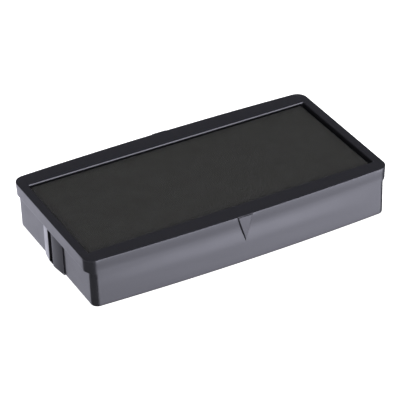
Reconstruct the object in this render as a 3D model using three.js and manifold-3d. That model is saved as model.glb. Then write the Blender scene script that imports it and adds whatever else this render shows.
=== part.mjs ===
// Ink pad: the replaceable pad cartridge of a self-inking stamp. A shallow one-piece tray holds a
// layered pad: an adhesive film, a thick felt that stores the ink, a thin foam that evens it out, and
// a woven cloth over both.
// Millimetres. +X runs along the tray, +Y across it, +Z up. The origin is the middle of the underside.

import * as THREE from 'three';
import { mergeVertices } from 'three/addons/utils/BufferGeometryUtils.js';
import Module from 'manifold-3d';

const wasm = await Module();
wasm.setup();

// Tray, outside. Widths are taken at the corners, and the long sides swell past them by SIDE_BOW.
const LENGTH = 58;
const WIDTH = 30;
const HEIGHT = 9.3;
const SIDE_BOW = 0.8;
const RIM_HEIGHT = 2.5;
const RIM_CORNER = 1.9;
const RIM_EDGE = 0.1;
const END_OVERHANG = 0.75;
const SIDE_OVERHANG = 0.08;
const BODY_CORNER = 1.2;
const BODY_EDGE = 0.1;
const END_DRAFT = 0.02;
const SIDE_DRAFT = 0.05;

// Tray, inside. The pocket lies a little towards -Y, which leaves the rim wider along +Y.
const POCKET_LENGTH = 54.8;
const POCKET_WIDTH = 23.7;
const POCKET_CORNER = 0.2;
const POCKET_SHIFT = -0.35;
const FLOOR = 1.1;

// Hollows under the long sides of the rim, open downwards and crossed by ribs.
const WALL = 1;
const RIM_DECK = 1.4;
const RIB_THICKNESS = 0.8;
const BAYS = 6;
const BAY_SEGMENTS = 4;

// Lug in the middle of each end, with an upright slot a little off its middle. The two lugs are alike
// after half a turn, so the tray goes into a stamp either way round.
const LUG_WIDTH = 7.6;
const LUG_PROUD = 0.65;
const LUG_STEP = 0.19;
const LUG_CREST = 1.5; // 1 makes the lug's face two flats that meet in a crest, 2 one round face
const SLOT_WIDTH = 1.45;
const SLOT_DEPTH = 0.85;
const SLOT_OFFSET = 0.5;
const SLOT_SILL = 0.2;

// Arrow mark in the middle of each long side: a slightly raised triangle, point down.
const ARROW_WIDTH = 2.9;
const ARROW_HEIGHT = 4.5;
const ARROW_PROUD = 0.15;

// Pad. Its layers lie on each other from the floor up, a hair apart, and nearer to the left end.
const PAD_LENGTH = 54;
const PAD_WIDTH = 23.2;
const PAD_SHIFT = -0.3;
const PAD_RECESS = 0.3;
const PAD_CORNER = 0.5;
const LAYER_GAP = 0.05;
const FILM_THICKNESS = 0.15;
const FILM_MARGIN = 1;
const FOAM_THICKNESS = 1.2;
const CLOTH_THICKNESS = 0.3;
const CLOTH_TUCK = 4;

const CORNER_SEGMENTS = 5;
const SIDE_SEGMENTS = 14;
const OVERRUN = 1; // how far a cutting solid runs past the face that it opens

const RIM_BOTTOM = HEIGHT - RIM_HEIGHT;
const BODY_HALF_LENGTH = LENGTH / 2 - END_OVERHANG;
const BODY_HALF_WIDTH = WIDTH / 2 - SIDE_OVERHANG;

// How far a long side stands past its corners at x.
function bowAt(x, halfLength, bow) {
  return bow * (1 - (x / halfLength) ** 2);
}

// Points of a rectangle with round corners, counter-clockwise, its long sides bowed outwards.
function outline(length, width, radius, bow = 0) {
  const reachX = length / 2 - radius;
  const reachY = width / 2 - radius;
  const points = [];
  [[1, 1], [-1, 1], [-1, -1], [1, -1]].forEach(([sideX, sideY], quarter) => {
    for (let i = 0; i <= CORNER_SEGMENTS; i += 1) {
      const angle = (Math.PI / 2) * (quarter + i / CORNER_SEGMENTS);
      const x = sideX * reachX + radius * Math.cos(angle);
      const y = sideY * reachY + radius * Math.sin(angle);
      points.push(new THREE.Vector2(x, y));
    }
    const alongLongSide = quarter % 2 === 0;
    for (let i = 1; bow > 0 && alongLongSide && i < SIDE_SEGMENTS; i += 1) {
      const x = sideX * reachX * (1 - (2 * i) / SIDE_SEGMENTS);
      points.push(new THREE.Vector2(x, sideY * (width / 2)));
    }
  });
  points.forEach((p) => {
    p.y += Math.sign(p.y) * bowAt(p.x, length / 2, bow);
  });
  return points;
}

// A prism on the given outline, from z = bottom to z = top, with both its rims rounded by edge.
function prism(points, bottom, top, edge = 0) {
  const geometry = new THREE.ExtrudeGeometry(new THREE.Shape(points), {
    depth: top - bottom - 2 * edge,
    bevelEnabled: edge > 0,
    bevelThickness: edge,
    bevelSize: edge,
    bevelOffset: -edge,
    bevelSegments: 2,
  });
  return geometry.translate(0, 0, bottom + edge);
}

// Draws a prism in towards its foot, as a moulded wall leans to leave its mould.
function lean(geometry) {
  const position = geometry.attributes.position;
  for (let i = 0; i < position.count; i += 1) {
    const drop = Math.max(0, 1 - position.getZ(i) / RIM_BOTTOM);
    position.setX(i, position.getX(i) * (1 - (END_DRAFT * drop) / BODY_HALF_LENGTH));
    position.setY(i, position.getY(i) * (1 - (SIDE_DRAFT * drop) / BODY_HALF_WIDTH));
  }
  return geometry;
}

// A closed geometry as a solid that can be joined and cut.
function solid(geometry) {
  const bare = geometry.clone();
  bare.deleteAttribute('normal');
  bare.deleteAttribute('uv');
  const merged = mergeVertices(bare);
  return new wasm.Manifold(new wasm.Mesh({
    numProp: 3,
    vertProperties: new Float32Array(merged.attributes.position.array),
    triVerts: new Uint32Array(merged.index.array),
  }));
}

// The joined and cut solid as a geometry again.
function geometryOf(manifold) {
  const mesh = manifold.getMesh();
  const geometry = new THREE.BufferGeometry();
  geometry.setAttribute('position', new THREE.BufferAttribute(mesh.vertProperties, 3));
  geometry.setIndex(new THREE.BufferAttribute(mesh.triVerts, 1));
  geometry.computeVertexNormals();
  return geometry;
}

// Walls below the rim, with the rim round them.
function trayShell() {
  const body = outline(2 * BODY_HALF_LENGTH, 2 * BODY_HALF_WIDTH, BODY_CORNER, SIDE_BOW);
  const rim = outline(LENGTH, WIDTH, RIM_CORNER, SIDE_BOW);
  const walls = lean(prism(body, 0, HEIGHT - RIM_HEIGHT / 2, BODY_EDGE));
  return solid(walls).add(solid(prism(rim, RIM_BOTTOM, HEIGHT, RIM_EDGE)));
}

// The room for the pad.
function pocket() {
  const room = prism(outline(POCKET_LENGTH, POCKET_WIDTH, POCKET_CORNER), FLOOR, HEIGHT + OVERRUN);
  return solid(room.translate(0, POCKET_SHIFT, 0));
}

// One bay of the hollow under a long side, between two ribs. side is 1 or -1.
function bay(side, index) {
  const pitch = (2 * (BODY_HALF_LENGTH - WALL - BODY_CORNER) + RIB_THICKNESS) / BAYS;
  const start = -BODY_HALF_LENGTH + WALL + BODY_CORNER + index * pitch;
  const end = start + pitch - RIB_THICKNESS;
  const inner = side * (POCKET_WIDTH / 2 + WALL) + POCKET_SHIFT;
  const points = [new THREE.Vector2(start, inner), new THREE.Vector2(end, inner)];
  for (let i = 0; i <= BAY_SEGMENTS; i += 1) {
    const x = end + ((start - end) * i) / BAY_SEGMENTS;
    const outer = BODY_HALF_WIDTH - SIDE_DRAFT - WALL + bowAt(x, BODY_HALF_LENGTH, SIDE_BOW);
    points.push(new THREE.Vector2(x, side * outer));
  }
  return solid(prism(points, -OVERRUN, HEIGHT - RIM_DECK));
}

// The lug of one end. end is 1 or -1.
function lug(end) {
  const half = LUG_WIDTH / 2;
  const root = BODY_HALF_LENGTH - WALL / 2;
  const foot = BODY_HALF_LENGTH - END_DRAFT + LUG_STEP;
  const sagitta = LUG_PROUD - LUG_STEP;
  const points = [new THREE.Vector2(end * root, -half)];
  for (let i = 0; i <= 2 * CORNER_SEGMENTS; i += 1) {
    const share = i / CORNER_SEGMENTS - 1;
    const proud = sagitta * (1 - Math.abs(share) ** LUG_CREST);
    points.push(new THREE.Vector2(end * (foot + proud), half * share));
  }
  points.push(new THREE.Vector2(end * root, half));
  return solid(prism(points, 0, HEIGHT - RIM_HEIGHT / 2));
}

// The slot in the lug, with a low sill at its foot.
function slot(end) {
  const face = BODY_HALF_LENGTH - END_DRAFT + LUG_PROUD;
  const cut = new THREE.BoxGeometry(2 * SLOT_DEPTH, SLOT_WIDTH, RIM_BOTTOM - SLOT_SILL);
  return solid(cut.translate(end * face, -end * SLOT_OFFSET, (RIM_BOTTOM + SLOT_SILL) / 2));
}

// The arrow mark of one long side.
function arrow(side) {
  const tip = HEIGHT - ARROW_HEIGHT;
  const triangle = new THREE.Shape([
    new THREE.Vector2(-ARROW_WIDTH / 2, HEIGHT - RIM_EDGE),
    new THREE.Vector2(0, tip),
    new THREE.Vector2(ARROW_WIDTH / 2, HEIGHT - RIM_EDGE),
  ]);
  const geometry = new THREE.ExtrudeGeometry(triangle, { depth: WALL, bevelEnabled: false });
  geometry.rotateX(Math.PI / 2);
  const face = WIDTH / 2 + SIDE_BOW + ARROW_PROUD;
  return solid(geometry.translate(0, side > 0 ? face : WALL - face, 0));
}

function trayGeometry() {
  let tray = trayShell();
  [1, -1].forEach((way) => {
    tray = tray.add(lug(way)).add(arrow(way));
  });
  tray = tray.subtract(pocket());
  [1, -1].forEach((way) => {
    tray = tray.subtract(slot(way));
    for (let i = 0; i < BAYS; i += 1) {
      tray = tray.subtract(bay(way, i));
    }
  });
  return geometryOf(tray);
}

// A layer of the pad that lies inside the cloth, or short of it by margin all round.
function layer(bottom, top, margin = 0) {
  const inset = 2 * (CLOTH_THICKNESS + LAYER_GAP + margin);
  const block = prism(outline(PAD_LENGTH - inset, PAD_WIDTH - inset, PAD_CORNER / 2), bottom, top);
  return block.translate(PAD_SHIFT, POCKET_SHIFT, 0);
}

// The cloth: a top sheet with its edges tucked down the sides of the layers below.
function clothGeometry(top) {
  const inset = 2 * CLOTH_THICKNESS;
  const outside = outline(PAD_LENGTH, PAD_WIDTH, PAD_CORNER);
  const inside = outline(PAD_LENGTH - inset, PAD_WIDTH - inset, PAD_CORNER - CLOTH_THICKNESS);
  const hem = top - CLOTH_THICKNESS - CLOTH_TUCK;
  const room = prism(inside, hem - OVERRUN, top - CLOTH_THICKNESS);
  const cover = geometryOf(solid(prism(outside, hem, top)).subtract(solid(room)));
  return cover.translate(PAD_SHIFT, POCKET_SHIFT, 0);
}

function piece(name, geometry, color, roughness) {
  const material = new THREE.MeshStandardMaterial({ color, roughness, metalness: 0 });
  const mesh = new THREE.Mesh(geometry, material);
  mesh.name = name;
  return mesh;
}

const filmBottom = FLOOR + LAYER_GAP;
const feltBottom = filmBottom + FILM_THICKNESS + LAYER_GAP;
const clothTop = HEIGHT - PAD_RECESS;
const foamTop = clothTop - CLOTH_THICKNESS - LAYER_GAP;
const feltTop = foamTop - FOAM_THICKNESS - LAYER_GAP;

const inkPad = new THREE.Group();
inkPad.add(
  piece('cartridge_tray', trayGeometry(), 0x1d1d22, 0.35),
  piece('adhesive_film', layer(filmBottom, filmBottom + FILM_THICKNESS, FILM_MARGIN), 0xd8d2bc, 0.5),
  piece('reservoir_felt', layer(feltBottom, feltTop), 0x2a2a30, 1),
  piece('transfer_foam', layer(feltTop + LAYER_GAP, foamTop), 0x232326, 0.95),
  piece('cover_cloth', clothGeometry(clothTop), 0x343432, 0.9),
);

export default inkPad;
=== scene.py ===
"""Ink pad: the looks of a pad cartridge, a moulded tray with a cloth-covered pad in it.

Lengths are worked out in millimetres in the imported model's frame, +X along the tray and +Z up,
and turned into metres where a mesh is made.
"""

import math

import bmesh
import bpy
import numpy as np
from mathutils import Matrix, Vector, noise


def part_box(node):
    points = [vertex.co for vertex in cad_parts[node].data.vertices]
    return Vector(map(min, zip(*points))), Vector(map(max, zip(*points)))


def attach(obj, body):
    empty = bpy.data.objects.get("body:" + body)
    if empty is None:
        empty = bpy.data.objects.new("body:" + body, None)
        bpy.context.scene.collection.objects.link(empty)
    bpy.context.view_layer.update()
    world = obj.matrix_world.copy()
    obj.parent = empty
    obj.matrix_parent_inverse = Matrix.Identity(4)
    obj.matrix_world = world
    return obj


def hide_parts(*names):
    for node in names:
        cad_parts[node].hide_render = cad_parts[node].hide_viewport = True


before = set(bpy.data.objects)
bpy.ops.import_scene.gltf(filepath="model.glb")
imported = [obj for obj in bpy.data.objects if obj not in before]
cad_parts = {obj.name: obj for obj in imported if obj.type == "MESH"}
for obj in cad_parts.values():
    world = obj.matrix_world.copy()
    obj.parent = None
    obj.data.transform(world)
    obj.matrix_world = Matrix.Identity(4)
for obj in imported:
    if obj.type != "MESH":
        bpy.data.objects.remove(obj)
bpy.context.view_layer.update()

MM = 0.001


def node_box(node):
    """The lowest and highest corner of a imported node, in millimetres."""
    low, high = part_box(node)
    return Vector(low) / MM, Vector(high) / MM


TRAY_HIGH = node_box("cartridge_tray")[1]
CLOTH_LOW, CLOTH_HIGH = node_box("cover_cloth")

# Tray, outside
ARROW_PROUD = 0.15
SIDE_BOW = 0.8
HALF_LENGTH = TRAY_HIGH.x
HALF_WIDTH = TRAY_HIGH.y - ARROW_PROUD - SIDE_BOW
HEIGHT = TRAY_HIGH.z
RIM_BOTTOM = HEIGHT - 2.5
RIM_CORNER = 1.9
RIM_EDGE = 0.1
RIM_DRAFT = 0.06
BODY_HALF_LENGTH = HALF_LENGTH - 0.75
BODY_HALF_WIDTH = HALF_WIDTH - 0.08
BODY_CORNER = 1.2
BODY_EDGE = 0.28
END_DRAFT = 0.02
SIDE_DRAFT = 0.05
LEDGE_FILLET = 0.1
SIDE_STEP = (7.0, 9.2)  # heights between which the long sides ease out from body to rim
SINK = 0.14  # how much less the long sides bow above the heights SINK_RISE than below them
SINK_RISE = (4.0, 6.9)
BODY_LEVELS = (1.2, 2.4, 3.4, 4.0, 4.5, 5.0, 5.4, 5.7)
LEDGE_SIDE_LEVELS = (6.0, RIM_BOTTOM + RIM_EDGE + 0.15)  # the ledge's rings, along the long sides
RIM_SHARES = (0.12, 0.24, 0.36, 0.48, 0.6, 0.8, 1.0)  # where the rim's rings are on its way up
CORNER_SHARES = (0.2, 0.9)  # the part of a corner in which a ring changes to its side height

# Tray, inside
POCKET_HALF_LENGTH = 27.4
POCKET_HALF_WIDTH = 11.85
POCKET_SHIFT = -0.35
POCKET_CORNER = 0.2
POCKET_BEVEL = 0.16
BEVEL_SECTION = ((1.0, 0.0), (0.86, 0.03), (0.06, 0.83), (0.0, 1.05))  # out and down, in bevels
POCKET_FILLET = 0.3
POCKET_RING_DEPTH = 2.0
FLOOR_LEAST_CORNER = 0.04
FLOOR = 1.1
WALL = 1.0
RIM_DECK = 1.4  # thickness left above the hollows
RIB = 0.8
BAYS = 6
BAY_MOUTH = 0.12
BAY_POINTS = 9
CLEAR = 1.0  # how far a cutting shape runs past what it cuts

# End lugs
LUG_HALF_WIDTH = 3.8
LUG_STEP = 0.19
LUG_PROUD = 0.65
LUG_CREST = 1.5  # 1 makes the lug's face two flats that meet in a crest, 2 one round face
LUG_EDGE = 0.04
LUG_ROOT = 27.6
LUG_FOOT = ((0.0, 0.1), (0.03, 0.05), (0.1, 0.0))  # heights and insets of the rounded foot
SLOPE_SPAN = 0.01  # half the step over which the slope of the lug's face is taken
SLOT_WIDTH = 1.45
SLOT_DEPTH = 0.85
SLOT_OFFSET = 0.5
SLOT_LIP = 0.12
SLOT_SILL = 0.2
SILL_BACK = 0.12  # how far the sill stands back from the lug's face
SILL_LAP = 0.02  # how far it runs into the cheeks
SILL_FOOT = 0.08
SILL_EDGE = 0.06

# Arrow marks
ARROW_HALF_WIDTH = 1.25
ARROW_TIP = HEIGHT - 4.5
ARROW_SLOPE = 0.7  # run of the arrow's side for each millimetre of its depth
ARROW_BREAK = (0.02, 0.04)  # depth and run of its softened edge
ARROW_ROOT = 0.7  # how deep it goes, into the wall
ARROW_TOP_SLOPE = 0.8  # rise of its top edge for each millimetre of depth, within the rim's edge

# Pad
CLOTH_THICKNESS = 0.3
CLOTH_EDGE = 0.13
CLOTH_INNER_EDGE = 0.05
CLOTH_CROWN = 0.03
CLOTH_SHAPED = 0.5  # how far below its rounded edge the cloth still follows the top's unevenness
CLOTH_WEAVE = 0.24  # thread spacing
# width of the painted shade along the cloth's border, beside the pocket's walls
PAINTED_EDGE_SHADE_WIDTH = 1.8
SOFT_CROWN = 0.06
SOFT_GAP = 0.02  # under a soft block
PAD_CORNER = 0.5
PAD_LEAST_CORNER = 0.06
CROWN_WIDTH = 4  # how far in from the edges a pad's top falls away towards them
MIDDLE_GAP = 0.15  # between a top's innermost ring and its middle line
RING_CROWDING = 1.15  # above 1 sets a top's rings closer together towards its edge
FRACTAL = (0.6, 2.0, 3)  # falloff, lacunarity and octaves of the unevenness

CORNER_STEPS = 14
SIDE_STEPS = 44
END_STEPS = 20
ARC_STEPS = 4
HEM_ARC_STEPS = 6
HEM_STEPS = 5
EDGE_STEPS = 6
FACE_STEPS = 12
TOP_RINGS = 12

SHARP_ANGLE = 32
SOFT_SHARP_ANGLE = 60
FACE_WEIGHT = 80


# ---------------------------------------------------------------- mesh making


def ring(half_x, half_y, radius, bow=0.0):
    """Points round a rectangle with round corners, counter-clockwise, its long sides bowed out.
    Also how far each point belongs to a long side: 0 on the ends, 1 on the long sides."""
    points, share = [], []
    for turn, (way_x, way_y) in enumerate(((1, 1), (-1, 1), (-1, -1), (1, -1))):
        onto_side = turn % 2 == 0
        for i in range(CORNER_STEPS + 1):
            part = i / CORNER_STEPS
            angle = (turn + part) * math.pi / 2
            x = way_x * (half_x - radius) + radius * math.cos(angle)
            y = way_y * (half_y - radius) + radius * math.sin(angle)
            points.append((x, y))
            share.append(part if onto_side else 1 - part)
        steps = SIDE_STEPS if onto_side else END_STEPS
        for i in range(1, steps):
            along = 1 - 2 * i / steps
            if onto_side:
                points.append((way_x * (half_x - radius) * along, way_y * half_y))
            else:
                points.append((way_x * half_x, way_y * (half_y - radius) * along))
            share.append(1.0 if onto_side else 0.0)
    points, share = np.array(points), np.array(share)
    points[:, 1] += np.sign(points[:, 1]) * bow * (1 - (points[:, 0] / HALF_LENGTH) ** 2)
    return points, share


def ease(low, high, value):
    """0 below low, 1 above high, and a smooth rise between them."""
    part = np.clip((value - low) / (high - low), 0, 1)
    return part * part * (3 - 2 * part)


def station(half_x, half_y, radius, z, side_z=None, bow=0.0):
    """One ring of a loft. side_z is its height along the long sides, where that differs."""
    points, share = ring(half_x, half_y, radius, bow)
    rise = np.full(len(points), float(z))
    if side_z is not None:
        rise += (side_z - z) * ease(*CORNER_SHARES, share)
    return np.column_stack([points, rise])


def shifted(rings, along_x, along_y):
    """The rings of a loft moved sideways."""
    return [each + (along_x, along_y, 0) for each in rings]


def make_object(name, vertices, faces):
    mesh = bpy.data.meshes.new(name)
    mesh.from_pydata([tuple(v) for v in np.asarray(vertices) * MM], [], faces)
    mesh.validate()
    made = bpy.data.objects.new(name, mesh)
    bpy.context.collection.objects.link(made)
    return made


def loft(name, rings):
    """A closed mesh through rings with equally many points, flat at both its ends."""
    count = len(rings[0])
    faces = [tuple(range(count))[::-1]]
    for k in range(len(rings) - 1):
        for i in range(count):
            j = (i + 1) % count
            faces.append((k * count + i, k * count + j, (k + 1) * count + j, (k + 1) * count + i))
    faces.append(tuple(range((len(rings) - 1) * count, len(rings) * count)))
    made = make_object(name, np.vstack(rings), faces)
    turn_outwards(made)
    return made


def turn_outwards(obj):
    bm = bmesh.new()
    bm.from_mesh(obj.data)
    bmesh.ops.recalc_face_normals(bm, faces=bm.faces)
    bm.to_mesh(obj.data)
    bm.free()


def join(name, objects):
    """Separate closed meshes as one object."""
    bm = bmesh.new()
    for each in objects:
        bm.from_mesh(each.data)
        bpy.data.objects.remove(each)
    mesh = bpy.data.meshes.new(name)
    bm.to_mesh(mesh)
    bm.free()
    made = bpy.data.objects.new(name, mesh)
    bpy.context.collection.objects.link(made)
    return made


def apply_modifiers(obj):
    evaluated = obj.evaluated_get(bpy.context.evaluated_depsgraph_get())
    mesh = bpy.data.meshes.new_from_object(evaluated)
    obj.modifiers.clear()
    obj.data = mesh


def combine(obj, tool, operation):
    """Joins tool to obj or cuts it away, and removes it."""
    modifier = obj.modifiers.new("combine", "BOOLEAN")
    modifier.operation = operation
    modifier.solver = "EXACT"
    modifier.object = tool
    apply_modifiers(obj)
    bpy.data.objects.remove(tool)


def smooth(obj, angle=SHARP_ANGLE):
    """Smooth shading that keeps the edges sharper than angle, led by the large flat faces."""
    obj.data.shade_smooth()
    obj.data.set_sharp_from_angle(angle=math.radians(angle))
    modifier = obj.modifiers.new("flat faces lead", "WEIGHTED_NORMAL")
    modifier.keep_sharp = True
    modifier.weight = FACE_WEIGHT
    apply_modifiers(obj)


# ---------------------------------------------------------------- tray


def quarter(steps=ARC_STEPS):
    """(sine, 1 - cosine) at each step of a quarter turn."""
    return [(math.sin(a), 1 - math.cos(a)) for a in np.linspace(0, math.pi / 2, steps + 1)]


def body_at(z):
    """Half length and half width of the body at height z."""
    drop = 1 - z / RIM_BOTTOM
    return BODY_HALF_LENGTH - END_DRAFT * drop, BODY_HALF_WIDTH - SIDE_DRAFT * drop


def side_at(z):
    """Half width at height z of a long side, where the body eases out into the rim."""
    return body_at(min(z, RIM_BOTTOM))[1] + (HALF_WIDTH - BODY_HALF_WIDTH) * ease(*SIDE_STEP, z)


def bow_at(z):
    """Swell of the long sides at height z, less where the moulding has sunk beside the deck."""
    return SIDE_BOW + SINK * (0.5 - ease(*SINK_RISE, z))


def outer_stations():
    """The outside of the tray, from the underside up to the rim's top."""
    made = []
    foot_x, foot_y = body_at(0)
    for out, up in quarter():
        inset = BODY_EDGE * (1 - out)
        made.append(station(foot_x - inset, foot_y - inset, BODY_CORNER - inset, BODY_EDGE * up,
                            bow=bow_at(0)))
    for z in BODY_LEVELS:
        made.append(station(body_at(z)[0], side_at(z), BODY_CORNER, z, bow=bow_at(z)))
    made += ledge_stations()
    for part in RIM_SHARES:
        z = RIM_BOTTOM + RIM_EDGE + part * (HEIGHT - RIM_BOTTOM - 2 * RIM_EDGE)
        made.append(station(HALF_LENGTH - RIM_DRAFT * (1 - part), side_at(z), RIM_CORNER, z,
                            bow=bow_at(z)))
    for out, up in quarter()[1:]:
        inset = RIM_EDGE * up
        made.append(station(HALF_LENGTH - inset, HALF_WIDTH - inset, RIM_CORNER - inset,
                            HEIGHT - RIM_EDGE * (1 - out), bow=bow_at(HEIGHT)))
    return made


def ledge_stations():
    """The step from body to rim: a ledge under the rim at the ends, a soft rise along the sides."""
    body_x, rim_x = body_at(RIM_BOTTOM)[0], HALF_LENGTH - RIM_DRAFT
    side_low, side_high = LEDGE_SIDE_LEVELS
    section = [(body_x + LEDGE_FILLET * up, RIM_BOTTOM - LEDGE_FILLET * (1 - out))
               for out, up in quarter()]
    section += [(rim_x - RIM_EDGE * (1 - out), RIM_BOTTOM + RIM_EDGE * up)
                for out, up in quarter()]
    made = []
    for k, (x, z) in enumerate(section):
        part = k / (len(section) - 1)
        side_z = side_low + part * (side_high - side_low)
        radius = BODY_CORNER + (RIM_CORNER - BODY_CORNER) * (x - body_x) / (rim_x - body_x)
        made.append(station(x, side_at(side_z), radius, z, side_z, bow=bow_at(side_z)))
    return made


def inner_stations():
    """From the rim's top over its bevelled inner edge down to the floor of the pocket."""
    section = [(out * POCKET_BEVEL, HEIGHT - down * POCKET_BEVEL) for out, down in BEVEL_SECTION]
    section += [(0.0, HEIGHT - POCKET_RING_DEPTH), (0.0, FLOOR + POCKET_FILLET)]
    section += [(-POCKET_FILLET * up, FLOOR + POCKET_FILLET * (1 - out))
                for out, up in quarter()[1:]]
    made = [station(POCKET_HALF_LENGTH + out, POCKET_HALF_WIDTH + out,
                    max(POCKET_CORNER + out, FLOOR_LEAST_CORNER), z) for out, z in section]
    return shifted(made, 0, POCKET_SHIFT)


def bay(side, index):
    """One bay of the hollow under a long side, its mouth a little wider than the rest."""
    reach = BODY_HALF_LENGTH - WALL - BODY_CORNER
    pitch = (2 * reach + RIB) / BAYS
    start = -reach + index * pitch
    end = start + pitch - RIB
    inner = POCKET_HALF_WIDTH + WALL + side * POCKET_SHIFT
    rings = []
    for z, wider in ((-CLEAR, BAY_MOUTH + CLEAR), (BAY_MOUTH, 0.0), (HEIGHT - RIM_DECK, 0.0)):
        x = np.linspace(start - wider, end + wider, BAY_POINTS)
        outer = body_at(0)[1] - WALL + SIDE_BOW * (1 - (x / BODY_HALF_LENGTH) ** 2) + wider
        level = np.full(BAY_POINTS, z)
        near = np.column_stack([x, np.full(BAY_POINTS, inner - wider), level])
        far = np.column_stack([x, outer, level])[::-1]
        points = np.vstack([near, far])
        points[:, 1] *= side
        rings.append(points)
    return loft("bay", rings)


def lug_face(y):
    """How far the lug's curved face stands from the middle of the tray at y."""
    foot = body_at(0)[0] + LUG_STEP
    return foot + (LUG_PROUD - LUG_STEP) * (1 - abs(y / LUG_HALF_WIDTH) ** LUG_CREST)


def cheek(end, low, high, edge_low, edge_high):
    """The part of a lug from y = low to y = high, with its two upright edges rounded."""
    outline = [(LUG_ROOT, low)]
    for y_end, edge, way in ((low, edge_low, -1), (high, edge_high, 1)):
        fall = lug_face(y_end - SLOPE_SPAN) - lug_face(y_end + SLOPE_SPAN)
        lean = math.atan(fall / (2 * SLOPE_SPAN))
        centre_y = y_end - way * edge
        centre_x = lug_face(centre_y + edge * math.sin(lean)) - edge * math.cos(lean)
        first, last = (-math.pi / 2, lean) if way < 0 else (lean, math.pi / 2)
        outline += [(centre_x + edge * math.cos(a), centre_y + edge * math.sin(a))
                    for a in np.linspace(first, last, EDGE_STEPS)]
        if way < 0:
            inner = np.linspace(low + edge_low, high - edge_high, FACE_STEPS)[1:-1]
            outline += [(lug_face(y), y) for y in inner]
    outline.append((LUG_ROOT, high))
    outline = np.array(outline)
    middle, half = (low + high) / 2, (high - low) / 2
    deep = outline[:, 0].max() - LUG_ROOT
    rings = []
    for z, inset in (*LUG_FOOT, (RIM_BOTTOM + RIM_EDGE, 0.0)):
        x = LUG_ROOT + (outline[:, 0] - LUG_ROOT) * (1 - inset / deep)
        y = middle + (outline[:, 1] - middle) * (1 - inset / half)
        rings.append(np.column_stack([end * x, -end * y, np.full(len(x), z)]))
    return loft("cheek", rings)


def slot_sill(end):
    """The low sill at the foot of the slot, between the cheeks."""
    half = SLOT_WIDTH / 2 + SILL_LAP
    front = lug_face(SLOT_OFFSET) - SILL_BACK
    outline = np.array([(LUG_ROOT, -half), (front, -half), (front, half), (LUG_ROOT, half)])
    rings = []
    for z, inset in ((0.0, SILL_FOOT), (SILL_EDGE, 0.0),
                     (SLOT_SILL - SILL_EDGE, 0.0), (SLOT_SILL, SILL_EDGE)):
        x = np.minimum(outline[:, 0], front - inset)
        y = SLOT_OFFSET + outline[:, 1]
        rings.append(np.column_stack([end * x, -end * y, np.full(len(x), z)]))
    return loft("sill", rings)


def slot_cut(end):
    """The room of the slot, a little wider than the slot, because the cheeks are its walls."""
    spare = 0.03
    deep = body_at(0)[0] + LUG_PROUD - SLOT_DEPTH
    half = SLOT_WIDTH / 2 + spare
    corners = np.array([(deep, SLOT_OFFSET - half), (HALF_LENGTH + CLEAR, SLOT_OFFSET - half),
                        (HALF_LENGTH + CLEAR, SLOT_OFFSET + half), (deep, SLOT_OFFSET + half)])
    rings = [np.column_stack([end * corners[:, 0], -end * corners[:, 1], np.full(len(corners), z)])
             for z in (SLOT_SILL, RIM_BOTTOM - LEDGE_FILLET)]
    return loft("slot", rings)


def arrow(side):
    """A raised triangle with sloping sides, its point down."""
    top = HEIGHT - RIM_EDGE
    height = top - ARROW_TIP
    flank = math.hypot(ARROW_HALF_WIDTH, height)
    inner_radius = ARROW_HALF_WIDTH * height / (ARROW_HALF_WIDTH + flank)
    corners = np.array([(-ARROW_HALF_WIDTH, top), (0, ARROW_TIP), (ARROW_HALF_WIDTH, top)])
    heart = np.array([0, top - inner_radius])
    face = HALF_WIDTH + SIDE_BOW + ARROW_PROUD
    break_depth, break_run = ARROW_BREAK
    root_run = break_run + (ARROW_ROOT - break_depth) * ARROW_SLOPE
    rings = []
    for depth, run in ((0.0, 0.0), (break_depth, break_run), (ARROW_ROOT, root_run)):
        grown = heart + (corners - heart) * (1 + run / inner_radius)
        x, z = grown[:, 0], np.minimum(grown[:, 1], top + min(depth, RIM_EDGE) * ARROW_TOP_SLOPE)
        rings.append(np.column_stack([x, np.full(len(x), side * (face - depth)), z]))
    return loft("arrow", rings)


def make_tray():
    tray = loft("cartridge_tray_moulding", outer_stations() + inner_stations())
    combine(tray, join("bays", [bay(s, i) for s in (1, -1) for i in range(BAYS)]), "DIFFERENCE")
    combine(tray, join("slots", [slot_cut(end) for end in (1, -1)]), "DIFFERENCE")
    low, high = SLOT_OFFSET - SLOT_WIDTH / 2, SLOT_OFFSET + SLOT_WIDTH / 2
    raised = [arrow(side) for side in (1, -1)]
    for end in (1, -1):
        raised.append(cheek(end, -LUG_HALF_WIDTH, low, LUG_EDGE, SLOT_LIP))
        raised.append(cheek(end, high, LUG_HALF_WIDTH, SLOT_LIP, LUG_EDGE))
    combine(tray, join("raised", raised), "UNION")
    # The sills run into the cheeks, so they are joined in a step of their own.
    combine(tray, join("sills", [slot_sill(end) for end in (1, -1)]), "UNION")
    smooth(tray)
    return tray


# ---------------------------------------------------------------- pad


def uneven(x, y, size, depth, seed):
    """Gentle unevenness at (x, y), never above 0: features of about size across, and depth deep."""
    value = noise.fractal(Vector((x / size, y / size, seed)), *FRACTAL)
    return -depth * min(max(0.5 + 0.5 * value, 0.0), 1.0)


def pad_surface(points, half_x, half_y, crown, size, depth, seed):
    """Lowers the points of a top in place, towards its edges and unevenly."""
    for p in points:
        to_edge = min(half_x - abs(p[0]), half_y - abs(p[1]))
        fall = crown * (1 - min(max(to_edge, 0) / CROWN_WIDTH, 1)) ** 2
        p[2] += uneven(p[0], p[1], size, depth, seed) - fall


def pad_ring(half_x, half_y, corner, inset, z):
    return station(half_x - inset, half_y - inset, max(corner - inset, PAD_LEAST_CORNER), z)


def top_rings(half_x, half_y, corner, z, edge):
    """Rings over the top of a pad, from near its middle line out to where its edge rounds over."""
    reach = half_y - MIDDLE_GAP - edge
    insets = [edge + reach * (1 - k / TOP_RINGS) ** RING_CROWDING for k in range(TOP_RINGS + 1)]
    return [pad_ring(half_x, half_y, corner, inset, z) for inset in insets]


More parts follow.
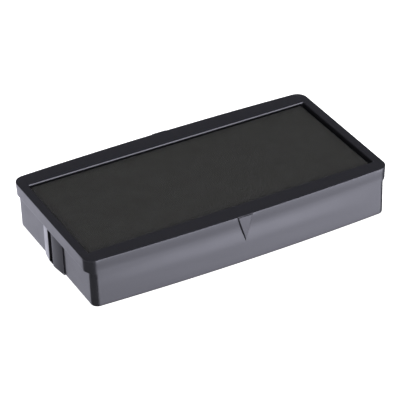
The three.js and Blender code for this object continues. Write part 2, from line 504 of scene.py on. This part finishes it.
def cloth_cover():
    """The woven cover: a sheet over the pad's top, tucked down its sides."""
    middle, half = (CLOTH_HIGH + CLOTH_LOW) / 2, (CLOTH_HIGH - CLOTH_LOW) / 2
    half_x, half_y, top, hem = half.x, half.y, CLOTH_HIGH.z, CLOTH_LOW.z

    def run(shift):
        x, y, z = half_x - shift, half_y - shift, top - shift
        edge = max(CLOTH_EDGE - shift, CLOTH_INNER_EDGE)
        corner = PAD_CORNER - shift
        rings = top_rings(x, y, corner, z, edge)
        rings += [pad_ring(x, y, corner, edge * (1 - out), z - edge * up)
                  for out, up in quarter(HEM_ARC_STEPS)[1:]]
        rings += [station(x, y, corner, level)
                  for level in np.linspace(z - edge, hem, HEM_STEPS)[1:]]
        for each in rings:
            shaped = [p for p in each if p[2] > top - CLOTH_EDGE - CLOTH_SHAPED]
            pad_surface(shaped, half_x, half_y, CLOTH_CROWN, size=6.0, depth=0.05, seed=3.0)
        return rings

    outside, inside = run(0.0), run(CLOTH_THICKNESS)
    return loft("pad_cover_cloth", shifted(outside + inside[::-1], middle.x, middle.y))


def soft_block(name, node, corner, edge, size, depth, seed):
    """A felt or foam layer: a block with soft edges, a flat underside and an uneven top."""
    low, high = node_box(node)
    middle, half_x, half_y = (high + low) / 2, (high.x - low.x) / 2, (high.y - low.y) / 2
    upper = top_rings(half_x, half_y, corner, high.z, edge)
    for each in upper:
        pad_surface(each, half_x, half_y, SOFT_CROWN, size, depth, seed)
    bottom = low.z + SOFT_GAP
    sides = [pad_ring(half_x, half_y, corner, edge * (1 - out), high.z - SOFT_CROWN - edge * up)
             for out, up in quarter()[1:]]
    sides += [pad_ring(half_x, half_y, corner, edge * (1 - out), bottom + edge * up)
              for out, up in quarter()[::-1][1:]]
    lower = top_rings(half_x, half_y, corner, bottom, edge)
    return loft(name, shifted(upper + sides + lower[::-1][1:], middle.x, middle.y))


# ---------------------------------------------------------------- shader nodes

MIX_COLOURS = (6, 7)  # the Mix node's two input sockets for colours
MIX_RESULT = 2  # and its output socket for the mixed colour


def add_node(tree, kind, inputs, **settings):
    """A node with its settings made and its inputs set, or linked where the value is a socket."""
    made = tree.nodes.new("ShaderNode" + kind)
    for key, value in settings.items():
        setattr(made, key, value)
    for key, value in inputs.items():
        if isinstance(value, bpy.types.NodeSocket):
            tree.links.new(value, made.inputs[key])
        else:
            made.inputs[key].default_value = value
    return made


def math_node(tree, operation, *values):
    return add_node(tree, "Math", dict(enumerate(values)), operation=operation).outputs[0]


def remap(tree, value, low, high, to_low=0.0, to_high=1.0, way="SMOOTHSTEP"):
    """value's range from low to high as to_low to to_high, clamped."""
    if low > high:
        low, high, to_low, to_high = high, low, to_high, to_low
    return add_node(tree, "MapRange", {"Value": value, "From Min": low, "From Max": high,
                                       "To Min": to_low, "To Max": to_high},
                    interpolation_type=way).outputs[0]


def noise_node(tree, where, per_mm, detail=2.0, roughness=0.5, stretch=(1, 1, 1)):
    """Noise from 0 to 1 with about per_mm features to the millimetre."""
    place = add_node(tree, "Mapping", {"Vector": where, "Scale": [s / MM for s in stretch]})
    return add_node(tree, "TexNoise", {"Vector": place.outputs[0], "Scale": per_mm,
                                       "Detail": detail, "Roughness": roughness}).outputs[0]


def blend_colour(tree, share, colour_a, colour_b):
    colours = dict(zip(MIX_COLOURS, ((*colour_a, 1), (*colour_b, 1))))
    mix = add_node(tree, "Mix", {"Factor": share, **colours}, data_type="RGBA")
    return mix.outputs[MIX_RESULT]


def shade_colour(tree, colour, factor):
    """A colour darkened by a factor from 0 to 1."""
    mix = add_node(tree, "Mix", {"Factor": 1.0}, data_type="RGBA", blend_type="MULTIPLY")
    for key, value in zip(MIX_COLOURS, (colour, factor)):
        tree.links.new(value, mix.inputs[key])
    return mix.outputs[MIX_RESULT]


def cells(tree, where, per_mm):
    """Distance from the middle of the nearest of many scattered cells."""
    place = add_node(tree, "Mapping", {"Vector": where, "Scale": [1 / MM] * 3})
    return add_node(tree, "TexVoronoi", {"Vector": place.outputs[0], "Scale": per_mm}).outputs[0]


def bump(tree, height, depth_mm, normal=None):
    inputs = {"Height": height, "Distance": depth_mm * MM, "Strength": 1.0}
    if normal is not None:
        inputs["Normal"] = normal
    return add_node(tree, "Bump", inputs).outputs[0]


def new_material(name):
    """A material with its tree, its shader and the place that its textures are tied to."""
    material = bpy.data.materials.new(name)
    material.use_nodes = True
    tree = material.node_tree
    shader = tree.nodes["Principled BSDF"]
    where = add_node(tree, "TexCoord", {}).outputs["Object"]
    return material, tree, shader, where


def plug(tree, shader, **links):
    for key, socket in links.items():
        tree.links.new(socket, shader.inputs[key.replace("_", " ")])


# ---------------------------------------------------------------- materials

# Base colours, from darkest to lightest
PLASTIC_COLOURS = ((0.0125, 0.0125, 0.0155), (0.0150, 0.0150, 0.0182))
CLOTH_COLOURS = ((0.0148, 0.0147, 0.0122), (0.0184, 0.0181, 0.0152))
# the felt's darker colour is painted shade between its fibres, the lighter one painted light on
# them
FELT_COLOURS = ((0.012, 0.012, 0.016), (0.042, 0.042, 0.050))
# the foam's darker colour is painted shade in its pores
FOAM_COLOURS = ((0.008, 0.008, 0.010), (0.034, 0.034, 0.038))
FILM_COLOURS = ((0.50, 0.43, 0.27), (0.64, 0.57, 0.40))

# Roughness, from the most to the least polished
PLASTIC_POLISH = (0.285, 0.335)
CLOTH_POLISH = (0.62, 0.8)
FELT_POLISH = (0.7, 0.95)
FOAM_POLISH = (0.6, 0.9)
FILM_POLISH = (0.22, 0.42)

NOISE_BODY = (0.3, 0.7)  # the range that most of a noise lies in
FLOW_STRETCH = (0.4, 0.4, 2.5)
FIBRE_STRETCH = (1, 2.2, 3)
THREAD_WANDER = 5.0  # how far noise pushes a thread aside, in radians of the weave
CROSSING = 0.3  # half the range in which one thread takes over from the thread that it crosses
GAP_RANGE = (0.0, 0.6)  # thread heights that count as a gap between threads
PAINTED_GAP_SHADE = 0.72  # painted shade along the cloth's border beside the pocket's walls, as a share of its colour
PAINTED_EDGE_SHADE = 0.66  # and along its border
PORE_WALL = (0.15, 0.7)
BUBBLE_EDGE = (0.12, 0.2)


def tray_plastic():
    """Satin black polystyrene with slow flow waves and a few scuffs."""
    material, tree, shader, where = new_material("tray_plastic")
    shader.inputs["IOR"].default_value = 1.5
    clouds = noise_node(tree, where, per_mm=0.12, detail=3)
    colour = blend_colour(tree, clouds, *PLASTIC_COLOURS)
    scuffs = noise_node(tree, where, per_mm=0.35, detail=4)
    polish = remap(tree, scuffs, *NOISE_BODY, *PLASTIC_POLISH, "LINEAR")
    flow = noise_node(tree, where, per_mm=0.11, detail=1, stretch=FLOW_STRETCH)
    surface = bump(tree, flow, depth_mm=0.04)
    plug(tree, shader, Base_Color=colour, Roughness=polish, Normal=surface)
    return material


def woven_height(tree, where, pitch):
    """A plain weave: threads along X and Y that pass over and under each other."""
    parts = add_node(tree, "SeparateXYZ", {"Vector": where})
    wander = noise_node(tree, where, per_mm=0.35, detail=2)
    phases = []
    for axis in (0, 1):
        along = math_node(tree, "MULTIPLY", parts.outputs[axis], math.pi / (pitch * MM))
        aside = math_node(tree, "MULTIPLY", wander, THREAD_WANDER)
        phases.append(math_node(tree, "ADD", along, aside))
    threads = [math_node(tree, "ABSOLUTE", math_node(tree, "SINE", phase)) for phase in phases]
    over = math_node(tree, "MULTIPLY", *[math_node(tree, "COSINE", phase) for phase in phases])
    across = remap(tree, over, -CROSSING, CROSSING)
    return add_node(tree, "Mix", {0: across, 2: threads[0], 3: threads[1]}).outputs[0]


def border_share(tree, where, box, width):
    """1 over the middle of a box seen from above, falling to 0 at its border over width."""
    parts = add_node(tree, "SeparateXYZ", {"Vector": where})
    shares = []
    for axis in (0, 1):
        middle, half = (box[0][axis] + box[1][axis]) / 2, (box[1][axis] - box[0][axis]) / 2
        offset = math_node(tree, "SUBTRACT", parts.outputs[axis], middle * MM)
        distance = math_node(tree, "ABSOLUTE", offset)
        shares.append(remap(tree, distance, half * MM, (half - width) * MM))
    return math_node(tree, "MINIMUM", *shares)


def inked_cloth():
    """A fine plain weave soaked in black ink, with painted shade between its threads and along its
    border beside the pocket's walls.
    """
    material, tree, shader, where = new_material("inked_cloth")
    shader.inputs["Sheen Weight"].default_value = 0.04
    shader.inputs["Sheen Roughness"].default_value = 0.5
    shader.inputs["IOR"].default_value = 1.4
    weave = woven_height(tree, where, CLOTH_WEAVE)
    clouds = noise_node(tree, where, per_mm=0.18, detail=4, roughness=0.55)
    soaked = blend_colour(tree, clouds, *CLOTH_COLOURS)
    # painted shade: the cloth darker between its threads
    painted_gap_shade = remap(tree, weave, *GAP_RANGE, PAINTED_GAP_SHADE, 1.0)
    # painted shade: the cloth darker along its border, beside the pocket's walls
    inside = remap(tree, border_share(tree, where, (CLOTH_LOW, CLOTH_HIGH), PAINTED_EDGE_SHADE_WIDTH),
                   0, 1, PAINTED_EDGE_SHADE, 1.0)
    colour = shade_colour(tree, soaked, math_node(tree, "MULTIPLY", painted_gap_shade, inside))
    wet = remap(tree, clouds, *NOISE_BODY, *CLOTH_POLISH, "LINEAR")
    fuzz = noise_node(tree, where, per_mm=9.0)
    threads = bump(tree, weave, depth_mm=0.045)
    surface = bump(tree, fuzz, depth_mm=0.012, normal=threads)
    plug(tree, shader, Base_Color=colour, Roughness=wet, Normal=surface)
    return material


def inked_felt():
    """Dense felt soaked in ink: matted fibres, with painted light where they stand up and painted
    shade in the hollows between them.
    """
    material, tree, shader, where = new_material("inked_felt")
    shader.inputs["Sheen Weight"].default_value = 0.08
    fibres = noise_node(tree, where, per_mm=1.6, detail=8, roughness=0.75, stretch=FIBRE_STRETCH)
    # painted light and shade: lighter where the fibres stand up, darker between them
    colour = blend_colour(tree, fibres, *FELT_COLOURS)
    wet = remap(tree, fibres, *NOISE_BODY, *FELT_POLISH)
    surface = bump(tree, fibres, depth_mm=0.12)
    plug(tree, shader, Base_Color=colour, Roughness=wet, Normal=surface)
    return material


def inked_foam():
    """Fine-pored foam soaked in ink, with painted shade in its pores."""
    material, tree, shader, where = new_material("inked_foam")
    wall = remap(tree, cells(tree, where, per_mm=4.5), *PORE_WALL)
    # painted shade: the foam darker in the middle of its pores than on their walls
    colour = blend_colour(tree, wall, *FOAM_COLOURS)
    wet = remap(tree, wall, 0.0, 1.0, *FOAM_POLISH[::-1])
    surface = bump(tree, wall, depth_mm=0.1)
    plug(tree, shader, Base_Color=colour, Roughness=wet, Normal=surface)
    return material


def amber_film():
    """Clear double-sided tape with a faint haze of adhesive and small trapped bubbles."""
    material, tree, shader, where = new_material("amber_film")
    shader.inputs["IOR"].default_value = 1.47
    haze = noise_node(tree, where, per_mm=0.4, detail=4)
    bubbles = remap(tree, cells(tree, where, per_mm=0.7), *BUBBLE_EDGE)
    colour = blend_colour(tree, haze, *FILM_COLOURS)
    gloss = remap(tree, haze, *NOISE_BODY, *FILM_POLISH)
    surface = bump(tree, bubbles, depth_mm=0.05)
    plug(tree, shader, Base_Color=colour, Roughness=gloss, Normal=surface)
    return material


def dress(obj, material):
    obj.data.materials.clear()
    obj.data.materials.append(material)


# ---------------------------------------------------------------- stage

FLOOR_SIZE = 3.0  # metres
FLOOR_GAP = 0.02  # keeps the floor clear of the tray's underside
FLOOR_SETTINGS = {"Base Color": (0.82, 0.82, 0.82, 1), "Roughness": 0.9, "Specular IOR Level": 0.0,
                  "Emission Color": (1, 1, 1, 1), "Emission Strength": 0.9}

# What glossy surfaces mirror. Bearings and edges are in degrees, from -Y towards +X. Heights are
# sines of the elevation. Four numbers are where a light starts, is full, still is, and ends.
FRONT_BEARING = 27
FRONT_EDGES = (-33, -22, 24, 55)
FRONT_STRENGTH = 3.6
BACK_BEARING = -153
BACK_EDGES = (-75, -50, -24, 25)
BACK_STRENGTH = 1.95
CARD_HEIGHTS = (-0.97, -0.85, -0.05, 0.12)
CARD_FALL = (-0.74, -0.34, 0.1, 2.1)  # two heights, and how bright the cards are at each
HORIZON_HEIGHTS = (-0.36, -0.28, -0.1, 0.0)
HORIZON_STRENGTH = 1.4
BOX_TOWARDS = (0.38, -0.545, 0.748)
BOX_EDGE = (14, 26)
BOX_STRENGTH = 9.5
DARK_STRENGTH = 0.105
MIRRORED_TINT = (0.91, 0.91, 1.06, 1)
SKY_STRENGTHS = (0.45, 1.0)  # as light on the part, and as the camera sees it


def make_floor():
    half = FLOOR_SIZE / 2 / MM
    corners = [(x * half, y * half, -FLOOR_GAP) for x, y in ((-1, -1), (1, -1), (1, 1), (-1, 1))]
    floor = make_object("floor", corners, [(0, 1, 2, 3)])
    material, _, shader, _ = new_material("floor")
    for key, value in FLOOR_SETTINGS.items():
        shader.inputs[key].default_value = value
    dress(floor, material)
    floor.visible_glossy = False


def compass(tree, direction, degrees):
    """Horizontal angle of a direction in degrees, 0 at the given bearing from -Y towards +X."""
    turned = add_node(tree, "VectorRotate", {"Vector": direction, "Angle": -math.radians(degrees)},
                      rotation_type="Z_AXIS").outputs[0]
    parts = add_node(tree, "SeparateXYZ", {"Vector": turned})
    across = math_node(tree, "MULTIPLY", parts.outputs[1], -1.0)
    return math_node(tree, "DEGREES", math_node(tree, "ARCTAN2", parts.outputs[0], across))


def spread(tree, value, points):
    """A smooth hill over value, up between the first two points and down between the last two."""
    up = remap(tree, value, points[0], points[1])
    down = remap(tree, value, points[3], points[2])
    return math_node(tree, "MULTIPLY", up, down)


def spot(tree, direction, towards, inner, outer):
    """A round patch of light towards a direction, its edge between two angles in degrees."""
    dot = add_node(tree, "VectorMath", {0: direction, 1: Vector(towards).normalized()},
                   operation="DOT_PRODUCT").outputs["Value"]
    return remap(tree, dot, math.cos(math.radians(outer)), math.cos(math.radians(inner)))


def make_surroundings():
    """A pale sky, and what glossy surfaces mirror in its place: two low bright cards, ahead on the
    right and behind on the left, a band all round under the horizon, and a soft box high on the
    right, in the dark."""
    world = bpy.data.worlds.new("studio")
    bpy.context.scene.world = world
    world.use_nodes = True
    tree = world.node_tree
    direction = add_node(tree, "TexCoord", {}).outputs["Generated"]
    height = add_node(tree, "SeparateXYZ", {"Vector": direction}).outputs[2]
    low = spread(tree, height, CARD_HEIGHTS)
    falling = remap(tree, height, *CARD_FALL, "LINEAR")
    front = spread(tree, compass(tree, direction, FRONT_BEARING), FRONT_EDGES)
    behind = spread(tree, compass(tree, direction, BACK_BEARING), BACK_EDGES)
    cards = math_node(tree, "ADD", math_node(tree, "MULTIPLY", front, FRONT_STRENGTH),
                      math_node(tree, "MULTIPLY", behind, BACK_STRENGTH))
    cards = math_node(tree, "MULTIPLY", cards, math_node(tree, "MULTIPLY", low, falling))
    band = spread(tree, height, HORIZON_HEIGHTS)
    horizon = math_node(tree, "MULTIPLY", band, HORIZON_STRENGTH)
    patch = spot(tree, direction, BOX_TOWARDS, *BOX_EDGE)
    box = math_node(tree, "MULTIPLY", patch, BOX_STRENGTH)
    light = DARK_STRENGTH
    for part in (cards, horizon, box):
        light = math_node(tree, "ADD", part, light)
    seen = add_node(tree, "LightPath", {})
    mirrored = add_node(tree, "Background", {"Color": MIRRORED_TINT, "Strength": light})
    sky = remap(tree, seen.outputs["Is Camera Ray"], 0.0, 1.0, *SKY_STRENGTHS)
    plain = add_node(tree, "Background", {"Color": (1, 1, 1, 1), "Strength": sky})
    choice = add_node(tree, "MixShader", {0: seen.outputs["Is Glossy Ray"]})
    tree.links.new(plain.outputs[0], choice.inputs[1])
    tree.links.new(mirrored.outputs[0], choice.inputs[2])
    tree.links.new(choice.outputs[0], tree.nodes["World Output"].inputs["Surface"])


def area_light(name, place, size, power):
    """A round soft light, placed and sized in metres, its power in watts, aimed at the part."""
    light = bpy.data.lights.new(name, "AREA")
    light.shape = "DISK"
    light.size = size
    light.energy = power
    lamp = bpy.data.objects.new(name, light)
    bpy.context.collection.objects.link(lamp)
    lamp.location = place
    lamp.rotation_euler = (-Vector(place)).to_track_quat("-Z", "Y").to_euler()
    lamp.visible_glossy = False


# ---------------------------------------------------------------- camera

# Degrees, metres, and millimetres of lens and sensor, solved from the photograph's perspective
CAMERA_AZIMUTH = 27.03
CAMERA_ELEVATION = 32.88
CAMERA_ROLL = 2.08
CAMERA_PLACE = (-0.1399, -0.2736, 0.2023)
CAMERA_LENS = 189
CAMERA_SENSOR = 36


def make_camera():
    azimuth, elevation = math.radians(CAMERA_AZIMUTH), math.radians(CAMERA_ELEVATION)
    ahead = Vector((math.sin(azimuth) * math.cos(elevation),
                    math.cos(azimuth) * math.cos(elevation), -math.sin(elevation)))
    turn = ahead.to_track_quat("-Z", "Y").to_matrix().to_4x4()
    roll = Matrix.Rotation(-math.radians(CAMERA_ROLL), 4, "Z")
    data = bpy.data.cameras.new("camera")
    data.lens = CAMERA_LENS
    data.sensor_width = CAMERA_SENSOR
    data.clip_start = 0.01
    camera = bpy.data.objects.new("camera", data)
    bpy.context.collection.objects.link(camera)
    camera.matrix_world = Matrix.Translation(CAMERA_PLACE) @ turn @ roll
    bpy.context.scene.camera = camera


# ---------------------------------------------------------------- the part


def place_piece(piece, node, material):
    dress(piece, material)
    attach(piece, "root")
    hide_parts(node)


tray = make_tray()
place_piece(tray, "cartridge_tray", tray_plastic())

cloth = cloth_cover()
smooth(cloth, SOFT_SHARP_ANGLE)
place_piece(cloth, "cover_cloth", inked_cloth())

foam = soft_block("transfer_foam_pad", "transfer_foam", corner=0.3, edge=0.12,
                  size=1.2, depth=0.05, seed=11.0)
smooth(foam, SOFT_SHARP_ANGLE)
place_piece(foam, "transfer_foam", inked_foam())

felt = soft_block("reservoir_felt_pad", "reservoir_felt", corner=0.3, edge=0.2,
                  size=2.0, depth=0.1, seed=17.0)
smooth(felt, SOFT_SHARP_ANGLE)
place_piece(felt, "reservoir_felt", inked_felt())

dress(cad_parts["adhesive_film"], amber_film())

make_floor()
make_surroundings()
area_light("overhead", place=(0.05, -0.1, 0.7), size=0.7, power=4.5)
make_camera()
bpy.context.scene.view_settings.view_transform = "Standard"
